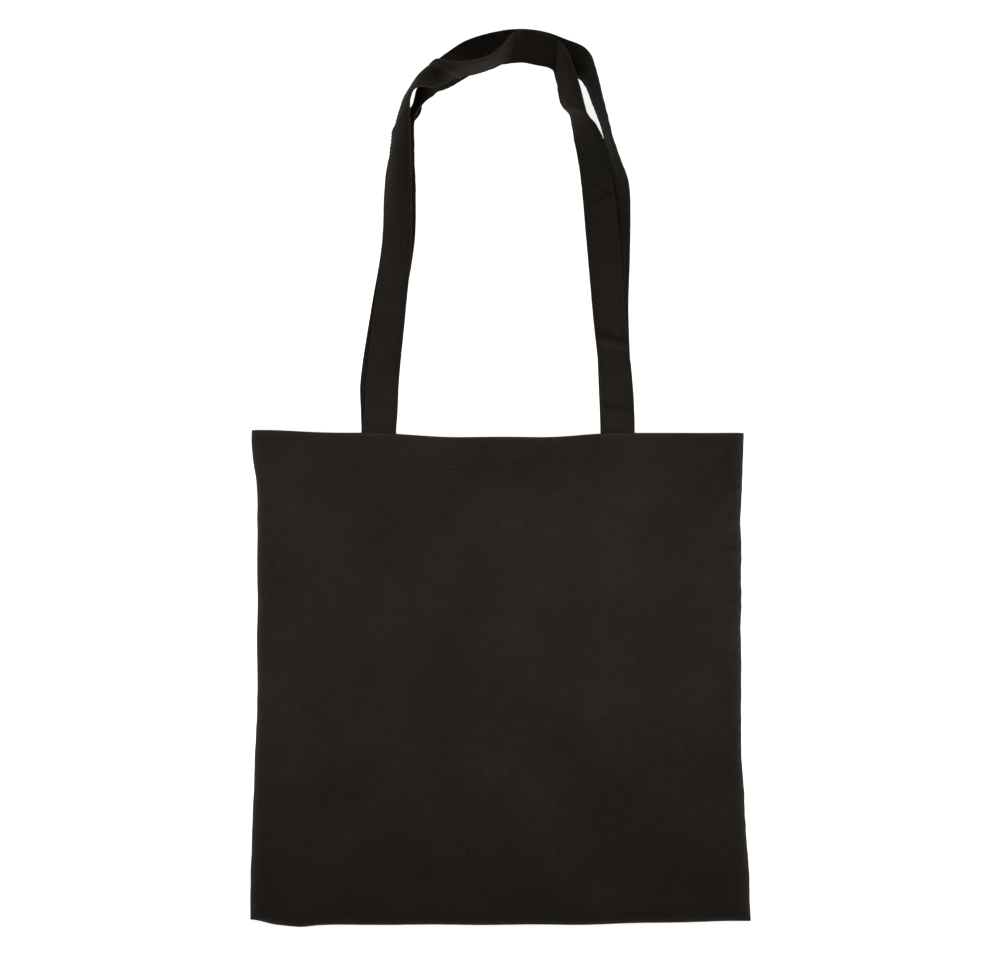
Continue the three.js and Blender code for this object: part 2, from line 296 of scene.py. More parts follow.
def hollow(x, y):
    """A soft hollow beside the right seam, just under the rim."""
    return bell(x - HOLLOW_PLACE[0], HOLLOW_SIZE[0]) * bell(y - HOLLOW_PLACE[1], HOLLOW_SIZE[1])


def front_height(x, y):
    """The front panel: a crown that curves down to the seams, soft bumps, and what lies under the cloth."""
    side, low = from_seams(x, y)
    depth = rim(x) - y
    crown = rounded(side, CROWN_RADIUS) * rounded(low, CROWN_RADIUS)
    z = SEAM_FRONT_Z + (FRONT_Z - SEAM_FRONT_Z) * crown
    inside = ease(0, 30, side) * ease(0, 30, low)
    z = z + inside * (0.5 * ripples(x, y, 95, 31) + 0.16 * ripples(x, y, 34, 32))
    z = z + 0.05 * ripples(x, y, 11, 33) * ease(0, 12, side)
    z = z + puckers(x, y)
    z = z - HEM_STEP * ease(21, 29, depth) * ease(0, 25, side)
    z = z - bell(depth - HEM_ROW_DEPTH, 1.3) * (HEM_ROW_SINK + 0.08 * wander(x, 9, 34))
    for centre in TAIL_CENTRES:
        wide = 1 - ease(STRAP_WIDTH / 2 - 1, STRAP_WIDTH / 2 + 2, np.abs(x - centre))
        tall = ease(TAIL_LOW_Y - 3, TAIL_LOW_Y + 1, y)
        z = z + TAIL_STEP * wide * tall
    return z - HOLLOW_DEPTH * hollow(x, y)


def back_height(x, y):
    """The back panel: flat where it lies down, and curled up to the seams."""
    side, low = from_seams(x, y)
    curl = np.maximum(1 - rounded(side, BACK_CURL), 1 - rounded(low, BACK_CURL))
    z = BACK_Z + (SEAM_BACK_Z - BACK_Z) * curl
    return z + 0.06 * (1 + ripples(x, y, 40, 41)) * ease(0, 20, side)


# ---- Making meshes ----
def mesh_piece(name, points, faces, material, uv=None, wear_and_painted_light=None):
    """A smooth mesh from points in millimetres.

    uv is each point's place on the cloth, in metres. The last argument gives each point's lightening: 1 where
    the cloth is lightened by rubbing and by painted highlight, and below 0 where painted shade darkens a
    valley.
    """
    mesh = bpy.data.meshes.new(name)
    mesh.from_pydata((np.asarray(points, float) * MM).tolist(), [], faces)
    mesh.polygons.foreach_set("use_smooth", [True] * len(mesh.polygons))
    if uv is not None:
        corners = np.zeros(len(mesh.loops), np.int32)
        mesh.loops.foreach_get("vertex_index", corners)
        layer = mesh.uv_layers.new(name="cloth")
        layer.data.foreach_set("uv", np.asarray(uv, np.float32)[corners].ravel())
    if wear_and_painted_light is not None:
        attribute = mesh.attributes.new("wear_and_painted_light", "FLOAT", "POINT")
        attribute.data.foreach_set("value", np.asarray(wear_and_painted_light, np.float32))
    mesh.materials.append(material)
    mesh.update()
    piece = bpy.data.objects.new(name, mesh)
    bpy.context.scene.collection.objects.link(piece)
    return piece


def grid_faces(rows, columns, closed=False):
    """Quads over a grid of points; closed joins the last column to the first."""
    wide = columns if closed else columns - 1
    r, c = np.meshgrid(np.arange(rows - 1), np.arange(wide), indexing="ij")
    after = (c + 1) % columns
    quads = np.stack(
        [r * columns + c, r * columns + after, (r + 1) * columns + after, (r + 1) * columns + c],
        axis=-1,
    )
    return quads.reshape(-1, 4).tolist()


def thicken(piece, thickness):
    modifier = piece.modifiers.new("thickness", "SOLIDIFY")
    modifier.thickness = thickness * MM
    modifier.offset = 0.0
    return piece


def threads(name, paths, radius, material, taper=None, sides=6):
    """Many short closed tubes as one mesh.

    paths is an array (tubes, rings, 3), in millimetres, and taper has each ring's share of the radius.
    """
    paths = np.asarray(paths, float)
    count, rings, _ = paths.shape
    along = np.gradient(paths, axis=1)
    along /= np.linalg.norm(along, axis=2, keepdims=True)
    # Almost upright, so that no thread runs along it.
    sideways = np.cross(along, (0.02, 0.01, 1.0))
    sideways /= np.linalg.norm(sideways, axis=2, keepdims=True)
    upward = np.cross(sideways, along)
    taper = np.ones(rings) if taper is None else np.asarray(taper, float)
    turn = np.arange(sides) * math.tau / sides
    spread = radius * taper[None, :, None, None]
    ring = np.cos(turn)[None, None, :, None] * sideways[:, :, None]
    ring = ring + np.sin(turn)[None, None, :, None] * upward[:, :, None]
    points = (paths[:, :, None] + spread * ring).reshape(-1, 3)
    one = np.array(grid_faces(rings, sides, closed=True))[:, ::-1]
    starts = np.arange(count) * rings * sides
    faces = (one[None] + starts[:, None, None]).reshape(-1, 4).tolist()
    cap = np.arange(sides)
    for start in starts.tolist():
        faces.append((cap + start).tolist())
        faces.append((cap[::-1] + start + (rings - 1) * sides).tolist())
    length = np.linalg.norm(np.diff(paths, axis=1), axis=2).cumsum(axis=1)
    length = np.concatenate([np.zeros((count, 1)), length], axis=1) * MM
    u = np.repeat(length.ravel(), sides)
    v = np.tile(turn / math.tau * radius * 6 * MM, count * rings)
    return mesh_piece(name, points, faces, material, uv=np.stack([u, v], axis=1))


def stitch_spans(length, start=0.0):
    """Where each stitch of a row begins and the places along it, as (stitches, rings)."""
    count = int((length - STITCH_LENGTH) / STITCH_PITCH)
    first = start + (length - count * STITCH_PITCH) / 2 + np.arange(count) * STITCH_PITCH
    return first[:, None] + np.linspace(0, STITCH_LENGTH, 5)[None, :]


# ---- Materials ----
class Shader:
    """A small helper for writing node trees."""

    def __init__(self, name):
        self.material = bpy.data.materials.new(name)
        self.material.use_nodes = True
        self.tree = self.material.node_tree
        self.surface = self.tree.nodes["Principled BSDF"]

    def node(self, kind, inputs=None, **settings):
        made = self.tree.nodes.new("ShaderNode" + kind)
        for key, value in settings.items():
            setattr(made, key, value)
        for key, value in (inputs or {}).items():
            if isinstance(value, bpy.types.NodeSocket):
                self.tree.links.new(value, made.inputs[key])
            else:
                made.inputs[key].default_value = value
        return made

    def sums(self, operation, first, second=0.0, third=0.0):
        inputs = {0: first, 1: second, 2: third}
        return self.node("Math", inputs, operation=operation).outputs[0]

    def noise(self, vector, scale, detail=2.0, roughness=0.5):
        inputs = {"Vector": vector, "Scale": scale, "Detail": detail, "Roughness": roughness}
        return self.node("TexNoise", inputs).outputs["Fac"]

    def stretched(self, vector, amounts):
        inputs = {0: vector, 1: amounts}
        return self.node("VectorMath", inputs, operation="MULTIPLY").outputs[0]

    def spread(self, value, low, high, to_low, to_high):
        inputs = {"Value": value, 1: low, 2: high, 3: to_low, 4: to_high}
        return self.node("MapRange", inputs).outputs[0]

    def mixed(self, share, first, second, blend_type="MIX"):
        made = self.node("Mix", data_type="RGBA", blend_type=blend_type)
        for index, value in ((0, share), (6, first), (7, second)):
            if isinstance(value, bpy.types.NodeSocket):
                self.tree.links.new(value, made.inputs[index])
            else:
                made.inputs[index].default_value = value
        return made.outputs[2]

    def join(self, output, name):
        self.tree.links.new(output, self.surface.inputs[name])

    def settle(self, **values):
        """Sets the surface's plain inputs, with an underscore for each space in a name."""
        for name, value in values.items():
            self.surface.inputs[name.replace("_", " ")].default_value = value


def tint(colour, brightness=1.0):
    """A colour for a node's input, made brighter or darker."""
    return tuple(channel * brightness for channel in colour) + (1.0,)


WARM_BLACK = (0.0206, 0.0155, 0.0117)
OLIVE_BLACK = (0.0191, 0.0162, 0.0116)
LINT_GREY = (0.09, 0.085, 0.078)
SHEEN_TINT = (1.0, 0.88, 0.76, 1.0)
WEFT_CLOSENESS = 0.9          # of the weft's yarns, against the warp's
RUB_AND_HIGHLIGHT_BRIGHTNESS = 3.2       # cloth lightened by rubbing and painted highlight, against the same cloth without either
PLY_LENGTH = 0.0009           # of the thread's twist, along it and round it, in metres
PLY_WIDTH = 0.0016


def woven(name, pitch, brightness, sheen, rub_and_highlight_strength):
    """Plain-weave cotton: yarns over and under each other, uneven yarns, blotchy dye, edges lightened by
    rubbing and by painted highlight, and painted shade in valleys.

    pitch is the distance between yarns, in metres, and the last argument is how far rubbing and painted
    highlight lighten the cloth.
    """
    s = Shader(name)
    place = s.node("UVMap", uv_map="cloth").outputs[0]
    room = s.node("TexCoord").outputs["Object"]
    # The yarns wander a little, as hand-laid cloth does.
    bend = s.node("TexNoise", {"Vector": place, "Scale": 90.0, "Detail": 1.0}).outputs["Color"]
    bend = s.node("VectorMath", {0: bend, 1: (0.5, 0.5, 0.5)}, operation="SUBTRACT").outputs[0]
    bend = s.node("VectorMath", {0: bend, "Scale": pitch * 1.2}, operation="SCALE").outputs[0]
    yarns = s.node("VectorMath", {0: place, 1: bend}, operation="ADD").outputs[0]
    yarns = s.stretched(yarns, (math.pi / pitch, math.pi / pitch * WEFT_CLOSENESS, 0.0))
    parts = s.node("SeparateXYZ", {0: yarns})
    across = s.sums("SINE", parts.outputs[0])
    along = s.sums("SINE", parts.outputs[1])
    over = s.sums("GREATER_THAN", s.sums("MULTIPLY", across, along), 0.0)
    across, along = s.sums("ABSOLUTE", across), s.sums("ABSOLUTE", along)
    warp = s.sums("MULTIPLY", across, s.sums("SQRT", along))
    weft = s.sums("MULTIPLY", along, s.sums("SQRT", across))
    weave = s.node("Mix", {0: over, 2: weft, 3: warp}).outputs[0]
    # Thick and thin yarns, in both directions.
    warp_slubs = s.noise(s.stretched(place, (1 / pitch, 14.0, 0.0)), 1.0, detail=1.0)
    weft_slubs = s.noise(s.stretched(place, (14.0, 1 / pitch, 3.0)), 1.0, detail=1.0)
    slubs = s.sums("ADD", warp_slubs, weft_slubs)
    slubs = s.spread(slubs, 0.7, 1.3, 0.0, 1.0)
    fuzz = s.noise(room, 1100.0, detail=3.0)
    blotches = s.noise(room, 15.0, detail=3.0, roughness=0.5)
    tone = s.noise(s.stretched(room, (1.0, 0.7, 1.0)), 19.0, detail=2.0)
    patches = s.noise(room, 150.0, detail=4.0, roughness=0.6)

    shade = s.spread(blotches, 0.3, 0.7, 0.84, 1.16)
    shade = s.sums("MULTIPLY", shade, s.spread(patches, 0.25, 0.75, 0.88, 1.12))
    shade = s.sums("MULTIPLY", shade, s.spread(slubs, 0.0, 1.0, 0.86, 1.14))
    shade = s.sums("MULTIPLY", shade, s.spread(weave, 0.0, 1.0, 0.62, 1.2))
    shade = s.sums("MULTIPLY", shade, s.spread(fuzz, 0.2, 0.8, 0.85, 1.15))
    # Below nothing, the attribute marks painted shade in a valley, where the cloth is made darker.
    wear_and_painted_light = s.node("Attribute", attribute_name="wear_and_painted_light").outputs["Fac"]
    shade = s.sums("MULTIPLY", shade, s.spread(wear_and_painted_light, -0.5, 0.0, 0.55, 1.0))
    # Above nothing, the cloth is lightened: partly rubbing, partly painted highlight.
    rubbed_and_painted_light = s.sums("MULTIPLY", s.sums("MAXIMUM", wear_and_painted_light), s.spread(patches, 0.3, 0.75, 0.35, 1.0))
    # Lint shows only where the noise peaks, so it is sparse.
    specks = s.noise(s.stretched(room, (1.0, 0.6, 1.0)), 420.0, detail=2.0)
    lint = s.spread(specks, 0.78, 0.86, 0.0, 0.3)

    dyed = s.node("CombineColor", {0: shade, 1: shade, 2: shade}).outputs[0]
    olive = s.spread(tone, 0.35, 0.65, 0.0, 1.0)
    dye = s.mixed(olive, tint(WARM_BLACK, brightness), tint(OLIVE_BLACK, brightness))
    base = s.mixed(1.0, dye, dyed, "MULTIPLY")
    rub_and_highlight_tint = tint(WARM_BLACK, brightness * RUB_AND_HIGHLIGHT_BRIGHTNESS)
    base = s.mixed(s.sums("MULTIPLY", rubbed_and_painted_light, rub_and_highlight_strength), base, rub_and_highlight_tint)
    base = s.mixed(lint, base, tint(LINT_GREY))
    s.join(base, "Base Color")
    s.join(s.spread(slubs, 0.0, 1.0, 0.86, 0.98), "Roughness")

    height = s.sums("MULTIPLY_ADD", slubs, 0.35, weave)
    height = s.sums("MULTIPLY_ADD", fuzz, 0.3, height)
    fine = s.node("Bump", {"Strength": 0.55, "Distance": 0.00022, "Height": height})
    coarse = {"Strength": 0.5, "Distance": 0.0006, "Height": patches, "Normal": fine.outputs[0]}
    s.join(s.node("Bump", coarse).outputs[0], "Normal")
    s.settle(Specular_IOR_Level=0.08, Sheen_Weight=sheen, Sheen_Roughness=0.45, Sheen_Tint=SHEEN_TINT)
    return s.material


def spun_thread(name):
    """Black sewing thread: two plies twisted round each other."""
    s = Shader(name)
    place = s.node("UVMap", uv_map="cloth").outputs[0]
    room = s.node("TexCoord").outputs["Object"]
    turned = s.stretched(place, (math.tau / PLY_LENGTH, math.tau / PLY_WIDTH, 0.0))
    turned = s.node("SeparateXYZ", {0: turned})
    twist = s.sums("SINE", s.sums("ADD", turned.outputs[0], turned.outputs[1]))
    hairs = s.noise(room, 2400.0, detail=2.0)
    shade = s.spread(twist, -1.0, 1.0, 0.7, 1.2)
    shade = s.sums("MULTIPLY", shade, s.spread(hairs, 0.3, 0.7, 0.85, 1.15))
    plies = s.node("CombineColor", {0: shade, 1: shade, 2: shade}).outputs[0]
    s.join(s.mixed(1.0, tint(WARM_BLACK, 0.5), plies, "MULTIPLY"), "Base Color")
    s.join(s.spread(hairs, 0.2, 0.8, 0.5, 0.75), "Roughness")
    height = s.sums("MULTIPLY_ADD", hairs, 0.5, twist)
    s.join(s.node("Bump", {"Strength": 0.5, "Distance": 0.00008, "Height": height}).outputs[0], "Normal")
    s.settle(Specular_IOR_Level=0.12, Sheen_Weight=0.02)
    return s.material


CANVAS = woven("canvas", pitch=0.00056, brightness=0.78, sheen=0.035, rub_and_highlight_strength=0.3)
STRAP = woven("strap_canvas", pitch=0.00050, brightness=0.78, sheen=0.035, rub_and_highlight_strength=0.75)
THREAD = spun_thread("thread")


# ---- The two panels, each with its hem turned in ----
CROWDING = np.array([0, 0.12, 0.4, 0.8, 1.3, 2, 2.8, 3.8, 5, 6.4, 8, 10, 12.3])
EDGE_ZONE = 14.0              # the meshes are fine this near to a seam or the rim
COLUMN_STEP = 3.2
ROW_STEP = 1.8
HEM_END_DEPTH = 3.0           # how near to the rim the cloth turned under reaches


def crowded(length, near, step):
    """Places along a length that crowd towards both ends, `step` apart in the middle."""
    ends = CROWDING * near / CROWDING[-1]
    middle = np.linspace(near, length - near, int((length - 2 * near) / step) + 1)[1:-1]
    return np.concatenate([ends, middle, (length - ends)[::-1]])


def hem_path():
    """From the rim over and in: (depth below the rim, drop from the outer cloth), in order."""
    steps = []
    for turn in np.linspace(0, math.pi, 8)[1:]:
        steps.append((FOLD_RADIUS * (1 - math.sin(turn)), FOLD_RADIUS * (1 - math.cos(turn))))
    inner = 2 * FOLD_RADIUS
    for depth in np.linspace(FOLD_RADIUS, HEM_DEPTH - TURN_RADIUS, 12)[1:]:
        steps.append((depth, inner))
    for turn in np.linspace(0, math.pi, 6)[1:]:
        depth = HEM_DEPTH - TURN_RADIUS + TURN_RADIUS * math.sin(turn)
        steps.append((depth, inner - TURN_RADIUS + TURN_RADIUS * math.cos(turn)))
    for depth in np.linspace(HEM_DEPTH - TURN_RADIUS, HEM_END_DEPTH, 9)[1:]:
        steps.append((depth, inner - 2 * TURN_RADIUS))
    return steps


def panel_sheet(name, height, inward):
    """One panel with its hem, and the length of its cloth from the bottom seam to the hem's inner edge.

    inward is -1 where the hem turns down and 1 where it turns up.
    """
    columns = crowded(2 * HALF_WIDTH, EDGE_ZONE, COLUMN_STEP)
    nominal = columns - HALF_WIDTH
    share = columns / (2 * HALF_WIDTH)
    length = RIM_Y - BOTTOM_Y
    up = crowded(length, EDGE_ZONE, ROW_STEP)
    up = up[up <= length - FOLD_RADIUS] / length
    rows, places, rubbed_and_painted_light = [], [], []
    for part in up:
        top = rim(nominal) - FOLD_RADIUS
        low = bottom_seam(nominal)
        y = low + (top - low) * part * length / (length - FOLD_RADIUS)
        x = left_seam(y) + (right_seam(y) - left_seam(y)) * share
        z = height(x, y)
        rows.append(np.stack([x, y, z], axis=1))
        travelled = part * length
        places.append(np.stack([nominal, np.full_like(nominal, travelled)], axis=1))
        side, below = from_seams(x, y)
        # Edges by the seams and rim are lightened: partly rubbing, partly a painted highlight on the rolled
        # edge.
        edge = np.maximum(bell(side, 3.5), bell(below, 3.5))
        edge = np.maximum(edge, bell(rim(x) - y, 2.2))
        if inward < 0:
            # Painted shade darkens the pinched folds and the hollow, and a painted highlight lies just below
            # each fold.
            edge = edge - 0.45 * folds(x, y) + 0.3 * folds(x, y + PAINTED_HIGHLIGHT_OFFSET) - 0.22 * hollow(x, y)
        rubbed_and_painted_light.append(edge)
    # Over the rim and in.
    before = (FOLD_RADIUS, 0.0)
    for depth, drop in hem_path():
        travelled += math.hypot(depth - before[0], drop - before[1])
        before = (depth, drop)
        inside = travelled - length
        inset = HEM_INSET * float(ease(0.5, 9, inside))
        y = rim(nominal) - depth
        left, right = left_seam(y) + inset, right_seam(y) - inset
        x = left + (right - left) * share
        z = height(x, y) + inward * drop
        if inward < 0:
            z = np.maximum(z, back_height(x, y) + CLOTH)
        rows.append(np.stack([x, y, z], axis=1))
        places.append(np.stack([nominal, np.full_like(nominal, travelled)], axis=1))
        # The rim's fold is lightened: partly rubbing, partly a painted highlight.
        on_rim = drop < FOLD_RADIUS * 1.2 and depth < 1
        rubbed_and_painted_light.append(np.full_like(nominal, 1.0 if on_rim else 0.0))
    points = np.concatenate(rows)
    uv = np.concatenate(places) * MM
    faces = grid_faces(len(rows), len(columns))
    piece = mesh_piece(name, points, faces, CANVAS, uv=uv, wear_and_painted_light=np.concatenate(rubbed_and_painted_light))
    return thicken(piece, CLOTH), travelled


def open_front(piece):
    """Bakes a piece of the front half into world space and finds how far its points lie from the seams; the
    distances are not used.
    """
    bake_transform(piece)
    # The distances run in from the seams instead of up through the layers.
    points = np.zeros(len(piece.data.vertices) * 3)
    piece.data.vertices.foreach_get("co", points)
    x, y, _ = (points.reshape(-1, 3) / MM).T
    side, low = from_seams(x, y)
    return piece


front_panel, front_length = panel_sheet("front_panel_cloth", front_height, -1)
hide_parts("front_panel", "front_hem")
open_front(front_panel)

back_panel, back_length = panel_sheet("back_panel_cloth", back_height, 1)
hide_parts("back_panel", "back_hem")
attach(back_panel, "back")


# ---- Hem stitching ----
def hem_stitches(name, height, inward, node):
    """Lockstitches that show on the outer cloth and again on the hem's inside."""
    outside, inside = HALF_WIDTH - 4, HALF_WIDTH - HEM_INSET - 3
    paths = []
    for half, drop, facing in ((outside, 0.0, -inward), (inside, 2 * FOLD_RADIUS, inward)):
        places = stitch_spans(2 * half) - half
        share = (places + HALF_WIDTH) / (2 * HALF_WIDTH)
        y = rim(places) - HEM_ROW_DEPTH
        x = left_seam(y) + (right_seam(y) - left_seam(y)) * share
        z = height(x, y) + inward * drop + facing * (CLOTH / 2 + STITCH_LIFT[None, :])
        paths.append(np.stack([x, y, z], axis=2))
    piece = threads(name, np.concatenate(paths), STITCH_RADIUS, THREAD, STITCH_TAPER)
    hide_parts(node)
    return piece


open_front(hem_stitches("front_hem_stitches", front_height, -1, "front_hem_stitching"))
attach(hem_stitches("back_hem_stitches", back_height, 1, "back_hem_stitching"), "back")


# ---- Seam allowances and overlocking, inside ----
ALLOWANCE_NEAR = 0.8
ALLOWANCE_FAR = 11.0
ALLOWANCE_THICK = 1.3
ALLOWANCE_RISE = 1.15         # its middle, over the back panel's
ALLOWANCE_ROWS = 121
ALLOWANCE_COLUMNS = 7
SIDE_RUN = 347.0              # length of a side allowance
CORNER_CLEAR = 12.2
OVERLOCK_REACH = (7.4, 11.7)
OVERLOCK_PITCH = 2.6
OVERLOCK_RADIUS = 0.2
OVERLOCK_RINGS = 13           # in each loop
ALLOWANCE_SEEDS = {"left": 51, "right": 52, "bottom": 53}


def seam_line(which, places, inset):
    """Points `inset` in from a seam, at places from 0 to 1 along it, as (x, y)."""
    if which == "bottom":
        nominal = -HALF_WIDTH + 2 * HALF_WIDTH * places
        y = bottom_seam(nominal) + inset
        left, right = left_seam(y) + CORNER_CLEAR, right_seam(y) - CORNER_CLEAR
        return left + (right - left) * places, y
    side = -1 if which == "left" else 1
    nominal = side * (HALF_WIDTH - 6)
    low, high = bottom_seam(nominal) + 4, rim(nominal) - HEM_DEPTH - 1
    y = low + (high - low) * places
    seam = left_seam(y) if side < 0 else right_seam(y)
    return seam - side * inset, y


def allowance_height(x, y, which, places):
    ripple = 0.18 * wander(places * 360, 26, ALLOWANCE_SEEDS[which])
    return back_height(x, y) + ALLOWANCE_RISE + 0.1 + 0.5 * ripple


def make_allowance(which, run):
    """The cut edges of both panels along one seam, `run` long."""
    insets = np.linspace(ALLOWANCE_NEAR, ALLOWANCE_FAR, ALLOWANCE_COLUMNS)
    inset, place = np.meshgrid(insets, np.linspace(0, 1, ALLOWANCE_ROWS))
    x, y = seam_line(which, place, inset)
    z = allowance_height(x, y, which, place)
    uv = np.stack([inset.ravel(), place.ravel() * run], axis=1) * MM
    wear_and_painted_light = bell(inset.ravel() - ALLOWANCE_FAR, 1.5)
    points = np.stack([x.ravel(), y.ravel(), z.ravel()], axis=1)
    faces = grid_faces(ALLOWANCE_ROWS, ALLOWANCE_COLUMNS)
    allowance = mesh_piece(f"{which}_allowance_cloth", points, faces, CANVAS, uv, wear_and_painted_light)
    thicken(allowance, ALLOWANCE_THICK)
    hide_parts(f"{which}_seam_allowance")
    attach(allowance, "back")


def make_overlock(which, run):
    """The thread that wraps an allowance's cut edge, as one loop after another."""
    loops = int(run / OVERLOCK_PITCH)
    turn = np.linspace(0, 1, OVERLOCK_RINGS)
    around = (np.arange(loops)[:, None] + turn[None, :]) / loops
    angle = math.tau * turn[None, :]
    reach = np.mean(OVERLOCK_REACH) + np.ptp(OVERLOCK_REACH) / 2 * np.cos(angle)
    x, y = seam_line(which, around, reach)
    z = allowance_height(x, y, which, around) + (ALLOWANCE_THICK / 2 + 0.12) * np.sin(angle)
    paths = np.stack([x, y, z], axis=2)
    overlock = threads(f"{which}_overlock_loops", paths, OVERLOCK_RADIUS, THREAD, sides=5)
    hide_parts(f"{which}_overlock_thread")
    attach(overlock, "back")


for which, run in (("left", SIDE_RUN), ("right", SIDE_RUN), ("bottom", 2 * HALF_WIDTH - 2 * CORNER_CLEAR)):
    make_allowance(which, run)
    make_overlock(which, run)


# ---- Handle straps ----
STITCH_LINE = 0.42            # edge stitching, as a part of the strap's width from its middle
STRAP_LINES = (-0.5, -STITCH_LINE, -0.2, 0, 0.2, STITCH_LINE, 0.5)
STITCH_GROOVE = 0.2           # depth under a row of stitching
EDGE_ROUND = 0.0315           # the folded edge's rounding, as a part of the strap's width
TAIL_MIDDLE_Y = 24.0
STRAP_STEP = 1.25             # between the mesh's rows


def section(tilt, cup, across, above):
    """Where a point of the strap's section is: sideways in plan, and up."""
    safe = np.where(np.abs(cup) > 1e-3, cup, 1e-3)
    radius = STRAP_WIDTH / safe
    turn = across * safe
    flat = radius * np.sin(turn) + above * np.sin(turn)
    crown = radius * (np.cos(turn) - np.sin(safe / 2) / (safe / 2)) + above * np.cos(turn)
    return flat * np.cos(tilt) - crown * np.sin(tilt), flat * np.sin(tilt) + crown * np.cos(tilt)


class Strap:
    """A strap laid through stations. Places on it are (distance, across, above), above in millimetres."""

    def __init__(self, stations, creases, seed):
        first, last = stations[0], stations[-1]
        ends = [(first[0], y, *first[2:]) for y in (TAIL_LOW_Y, TAIL_MIDDLE_Y)]
        tips = [(last[0], y, *last[2:]) for y in (TAIL_MIDDLE_Y, TAIL_LOW_Y)]
        self.stations = np.array(ends + list(stations) + tips, float)
        gaps = np.linalg.norm(np.diff(self.stations[:, :3], axis=0), axis=1)
        self.reach = np.concatenate([[0], np.cumsum(gaps)])
        self.length = self.reach[-1]
        slopes = np.gradient(self.stations, axis=0)
        span = self.reach[2:] - self.reach[:-2]
        slopes[1:-1] = (self.stations[2:] - self.stations[:-2]) / span[:, None]
        slopes[0] = (self.stations[1] - self.stations[0]) / gaps[0]
        slopes[-1] = (self.stations[-1] - self.stations[-2]) / gaps[-1]
        self.slopes = slopes
        self.creases = creases
        self.seed = seed

    def station(self, distance):
        """The six values of a station at any distance along the strap, on a smooth curve through them all."""
        d = np.clip(distance, 0, self.length)
        i = np.clip(np.searchsorted(self.reach, d, side="right") - 1, 0, len(self.reach) - 2)
        span = (self.reach[i + 1] - self.reach[i])[..., None]
        t = (d - self.reach[i])[..., None] / span
        value = (2 * t**3 - 3 * t**2 + 1) * self.stations[i] + (3 * t**2 - 2 * t**3) * self.stations[i + 1]
        lean = (t**3 - 2 * t**2 + t) * self.slopes[i] + (t**3 - t**2) * self.slopes[i + 1]
        return np.moveaxis(value + lean * span, -1, 0)

    def bare(self, distance, across, above):
        """A place on the strap without its relief. The section's lowest point is at the station's height."""
        x, y, rest, heading, tilt, cup = self.station(distance)
        heading, tilt, cup = np.radians(heading), np.radians(tilt), np.radians(cup)
        lowest = 0.0
        for line in STRAP_LINES:
            for face in (-STRAP_THICK / 2, STRAP_THICK / 2):
                lowest = np.minimum(lowest, section(tilt, cup, line, face)[1])
        side, up = section(tilt, cup, across, above)
        return np.stack([x + side * np.cos(heading), y + side * np.sin(heading), rest - lowest + up], axis=-1)

    def relief(self, distance, across):
        """How far the cloth stands off its smooth shape: bumps, finer bumps, rough edges and creases."""
        wide = across * STRAP_WIDTH
        free = ease(22, 60, distance) * ease(22, 60, self.length - distance)
        lift = 0.15 * ripples(distance * 0.8, wide, 17, self.seed) * free
        lift = lift + 0.09 * ripples(distance, wide, 7, self.seed + 1)
        edge = ease(0.34, 0.5, np.abs(across))
        lift = lift + 0.09 * edge * np.where(
            across < 0, wander(distance, 9, self.seed + 2), wander(distance, 8, self.seed + 3)
        )
        return lift + self.creased(distance, across, 1.0)

    def creased(self, distance, across, spread):
        """How high the creases stand, each `spread` times as wide as it is."""
        lift = 0.0
        middle = self.bare(distance, across, 0.0)
        for (x0, y0), (x1, y1), tall, width in self.creases:
            line = np.array([x1 - x0, y1 - y0])
            t = np.clip(((middle[..., :2] - (x0, y0)) @ line) / (line @ line), 0, 1)
            away = np.hypot(middle[..., 0] - x0 - t * line[0], middle[..., 1] - y0 - t * line[1])
            lift = lift + tall * bell(away, spread * width)
        return lift

    def point(self, distance, across, above):
        distance, across, above = np.broadcast_arrays(distance, across, above)
        return self.bare(distance, across, above + self.relief(distance, across))


def strap_loop():
    """The strap's section as a closed loop of (across, above), with a groove under each row of stitching."""
    half = STRAP_THICK / 2
    flat = [0.5 - EDGE_ROUND, 0.445, STITCH_LINE, 0.395, 0.34, 0.24, 0.12, 0.0]
    face = [(-a, half - (STITCH_GROOVE if a == STITCH_LINE else 0.0)) for a in flat]
    face += [(-a, h) for a, h in reversed(face[:-1])]
    edge = []
    for turn in np.radians([60, 30, 0, -30, -60]):
        edge.append((0.5 - EDGE_ROUND + EDGE_ROUND * math.cos(turn), half * math.sin(turn)))
    under = [(-a, -h) for a, h in face]
    other = [(-a, -h) for a, h in edge]
    return np.array(face + edge + under + other)


LOOP = strap_loop()


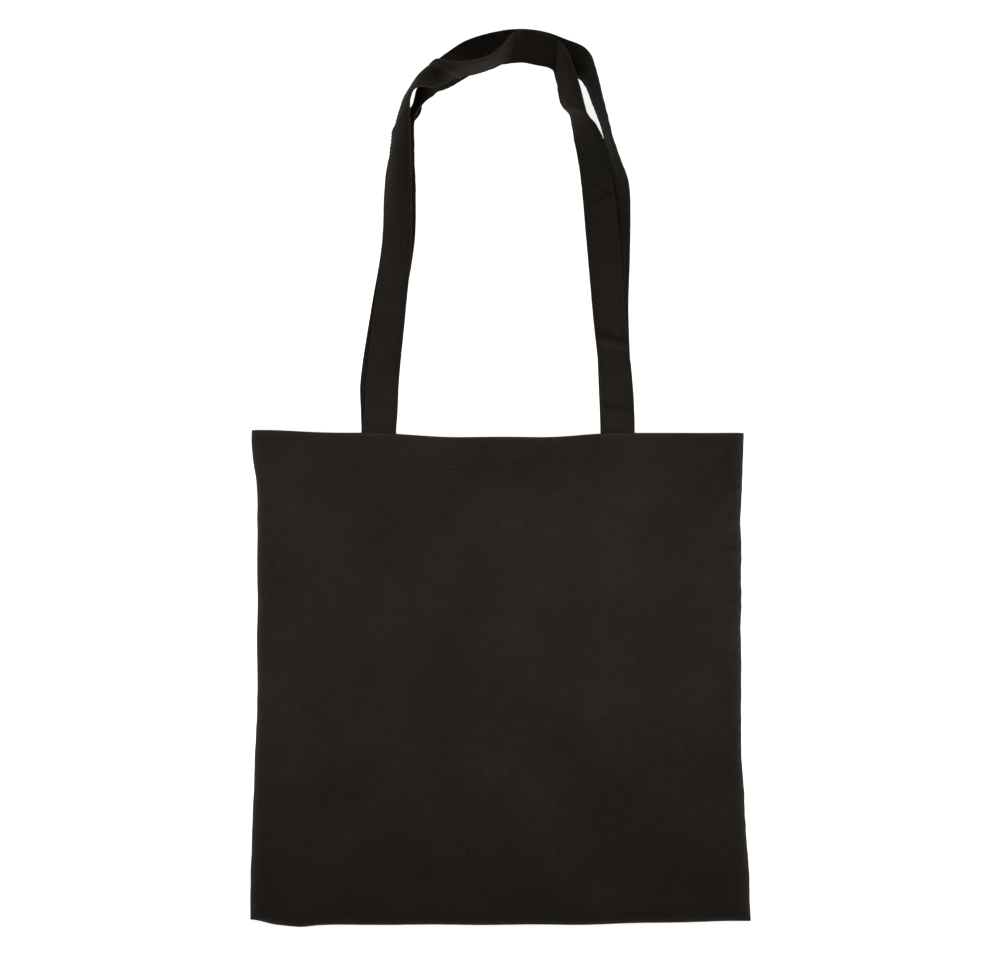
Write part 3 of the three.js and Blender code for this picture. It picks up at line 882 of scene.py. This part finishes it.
def strap_piece(name, strap):
    """A strap's webbing, lightened along the edges and ridges that stand up, by rubbing and by painted
    highlight, with painted shade in its valleys.
    """
    rows = int(strap.length / STRAP_STEP) + 1
    distance = np.linspace(0, strap.length, rows)
    points = strap.point(distance[:, None], LOOP[None, :, 0], LOOP[None, :, 1])
    count = len(LOOP)
    faces = grid_faces(rows, count, closed=True)
    faces.append(list(range(count))[::-1])
    faces.append([(rows - 1) * count + k for k in range(count)])
    across = np.where(LOOP[:, 1] >= 0, LOOP[:, 0], 1.2 - LOOP[:, 0]) * STRAP_WIDTH
    u, v = np.meshgrid(across, distance)
    edge = np.tile(bell((0.5 - np.abs(LOOP[:, 0])) * STRAP_WIDTH, 0.8), (rows, 1))
    # Edges that stand up are lightened most: partly rubbing, partly a painted highlight where a raised edge
    # catches the light.
    raised = np.sin(np.radians(strap.station(distance)[4]))[:, None] * np.sign(LOOP[:, 0])[None, :]
    wear_and_painted_light = edge * (0.15 + 0.85 * ease(0.15, 0.8, raised))
    # Ridges get a painted highlight and valleys painted shade, in step with the creases' heights.
    places = np.broadcast_arrays(distance[:, None], LOOP[None, :, 0])
    wear_and_painted_light = wear_and_painted_light + 0.5 * strap.creased(*places, 0.8)
    uv = np.stack([u.ravel(), v.ravel()], axis=1) * MM
    return mesh_piece(name, points.reshape(-1, 3), faces, STRAP, uv, wear_and_painted_light.ravel())


def strap_stitches(name, strap, line):
    """A row of lockstitches near one edge, on both faces."""
    places = stitch_spans(strap.length - 24, 12.0)
    paths = []
    for facing in (1, -1):
        above = facing * (STRAP_THICK / 2 - STITCH_GROOVE + STITCH_LIFT + 0.12)
        paths.append(strap.point(places, line, above[None, :]))
    return threads(name, np.concatenate(paths), STITCH_RADIUS, THREAD, STITCH_TAPER)


# Creases are (one end, other end, height, width), in plan.
FRONT_CREASES = [
    ((-74.1, 279.2), (-84.9, 262.1), 1.1, 1.5),
    ((71.7, 227.0), (84.7, 219.5), -0.9, 1.3),
    ((73.0, 213.5), (84.7, 219.5), -0.8, 1.3),
    ((76.0, 112.0), (97.0, 105.0), -1.0, 2.2),
    ((78.0, 103.0), (95.0, 100.0), 0.8, 2.4),
    ((78.0, 56.0), (101.0, 53.0), -0.8, 1.6),
    ((-106.0, 41.5), (-92.0, 39.5), -0.5, 1.6),
    ((42.3, 340.0), (42.6, 311.8), -0.9, 1.3),
    ((12.0, 346.6), (8.1, 321.0), -0.8, 1.8),
    ((53.1, 284.6), (65.5, 280.0), 0.8, 1.6),
    ((-52.3, 317.2), (-31.4, 310.2), 1.5, 1.4),
]
BACK_CREASES = [
    ((90.3, 206.0), (97.0, 197.0), -0.9, 1.6),
]
TAIL_BOX = (19.0, 14.0)
TAIL_BOX_LOW = 17.0


def box_path(centre_x):
    """A sewn box's stitches as (stitches, rings) arrays of x and y."""
    wide, tall = TAIL_BOX
    left, low = centre_x - wide / 2, TAIL_BOX_LOW
    corners = [(left, low), (left + wide, low), (left + wide, low + tall), (left, low + tall)]
    corners += [corners[0], corners[2], corners[1], corners[3]]
    xs, ys = [], []
    for (x0, y0), (x1, y1) in zip(corners, corners[1:]):
        length = math.hypot(x1 - x0, y1 - y0)
        if length < 1:
            continue
        t = stitch_spans(length) / length
        xs.append(x0 + (x1 - x0) * t)
        ys.append(y0 + (y1 - y0) * t)
    return np.concatenate(xs), np.concatenate(ys)


def make_handle(side, stations, creases, seed, tail_face):
    """A handle, its edge stitching, and the box stitching of its two sewn ends.

    tail_face is 1 where the box stitching shows on top of the tails, and -1 where it shows under them.
    """
    strap = Strap(stations, creases, seed)
    piece = strap_piece(f"{side}_handle_webbing", strap)
    tails = [f"{side}_{hand}_handle_tail" for hand in ("left", "right")]
    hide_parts(f"{side}_handle_strap", *tails)
    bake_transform(piece)
    for row, line in (("outer", -STITCH_LINE), ("inner", STITCH_LINE)):
        stitches = strap_stitches(f"{side}_handle_{row}_stitches", strap, line)
        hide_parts(f"{side}_handle_{row}_stitching")
        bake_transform(stitches)
    for hand, tail in zip(("left", "right"), tails):
        low, high = cad(tail)
        x, y = box_path((low[0] + high[0]) / 2)
        face = high[2] if tail_face > 0 else low[2]
        box_z = face + tail_face * (STITCH_LIFT[None, :] + 0.02) + 0 * x
        paths = np.stack([x, y, box_z], axis=2)
        box = threads(f"{side}_{hand}_box_stitches", paths, STITCH_RADIUS, THREAD, STITCH_TAPER)
        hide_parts(f"{side}_{hand}_tail_stitching")
        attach(box, side)


make_handle("front", FRONT_HANDLE, FRONT_CREASES, 61, -1)
make_handle("back", BACK_HANDLE, BACK_CREASES, 71, 1)


# ---- Floor and light ----
FLOOR_HALF = 25.0
FLOOR_Z = -0.4                # in millimetres, under the cloth's own unevenness
FLOOR_GLOW = 0.82
HORIZON_GLOW = 0.95
HORIZON_TOP = 0.12            # the upward part of a direction, where the white starts to fade
ZENITH_LOW = 0.42             # and where it has faded
ZENITH_GLOW = 0.1
STUDIO_WHITE = (1.0, 0.995, 0.985, 1.0)
SOFTBOX_ELEVATION = 14
SOFTBOX_DISTANCE = 2.6
SOFTBOX_SIZE = (1.6, 0.9)
# Each softbox is (side, azimuth, watts).
SOFTBOXES = (("bottom", 0, 5), ("right", 90, 11), ("handles", 180, 30), ("left", 270, 10))
KEY_WATTS = 2.17
KEY_PLACE = (0.0, -0.07, 0.33)
KEY_SIZE = (1.0, 0.15)


def make_floor():
    """The white paper under the bag."""
    s = Shader("floor_paper")
    grain = s.noise(s.node("TexCoord").outputs["Object"], 6.0, detail=2.0)
    tone = s.spread(grain, 0.3, 0.7, 0.93, 0.95)
    s.join(s.node("CombineColor", {0: tone, 1: tone, 2: tone}).outputs[0], "Base Color")
    s.settle(Roughness=0.9, Specular_IOR_Level=0.1)
    # Lit from beneath, as a light table is, so that the bag casts next to no shadow on it.
    s.settle(Emission_Color=(1.0, 1.0, 1.0, 1.0), Emission_Strength=FLOOR_GLOW)
    h = FLOOR_HALF / MM
    points = [(-h, -h, FLOOR_Z), (h, -h, FLOOR_Z), (h, h, FLOOR_Z), (-h, h, FLOOR_Z)]
    floor = mesh_piece("floor", points, [[0, 1, 2, 3]], s.material)


def area_light(name, size, watts, place, turn):
    """A lamp that lights the bag and isn't seen itself."""
    data = bpy.data.lights.new(name, "AREA")
    data.shape = "RECTANGLE"
    data.size, data.size_y = size
    data.energy = watts
    light = bpy.data.objects.new(name, data)
    light.location = place
    light.rotation_euler = turn
    light.visible_camera = False
    bpy.context.scene.collection.objects.link(light)


def softbox(name, azimuth, watts):
    """A lamp that faces the bag from one side. Azimuth 0 is beyond the bottom seam."""
    a, e = math.radians(azimuth), math.radians(SOFTBOX_ELEVATION)
    towards = (math.sin(a) * math.cos(e), -math.cos(a) * math.cos(e), math.sin(e))
    place = tuple(SOFTBOX_DISTANCE * part for part in towards)
    area_light(name, SOFTBOX_SIZE, watts, place, (math.pi / 2 - e, 0, a))


def make_world():
    """Surroundings that are white near the horizon and dim overhead."""
    world = bpy.data.worlds.new("studio")
    world.use_nodes = True
    nodes, links = world.node_tree.nodes, world.node_tree.links
    background = nodes["Background"]
    background.inputs["Color"].default_value = STUDIO_WHITE
    upward = nodes.new("ShaderNodeSeparateXYZ")
    fade = nodes.new("ShaderNodeMapRange")
    for index, value in ((1, HORIZON_TOP), (2, ZENITH_LOW), (3, HORIZON_GLOW), (4, ZENITH_GLOW)):
        fade.inputs[index].default_value = value
    links.new(nodes.new("ShaderNodeTexCoord").outputs["Generated"], upward.inputs[0])
    links.new(upward.outputs["Z"], fade.inputs["Value"])
    links.new(fade.outputs[0], background.inputs["Strength"])
    bpy.context.scene.world = world


make_floor()
# Low side lights catch the rolled edges. The strongest is at the handles' end and shows up the creases.
for side, azimuth, watts in SOFTBOXES:
    softbox(f"softbox_{side}", azimuth, watts)
# A strip light low over the body: the bag's bottom and the tops of its handles fall off into shade.
area_light("strip_light", KEY_SIZE, KEY_WATTS, KEY_PLACE, (0, 0, 0))
make_world()
bpy.context.scene.view_settings.view_transform = "Standard"
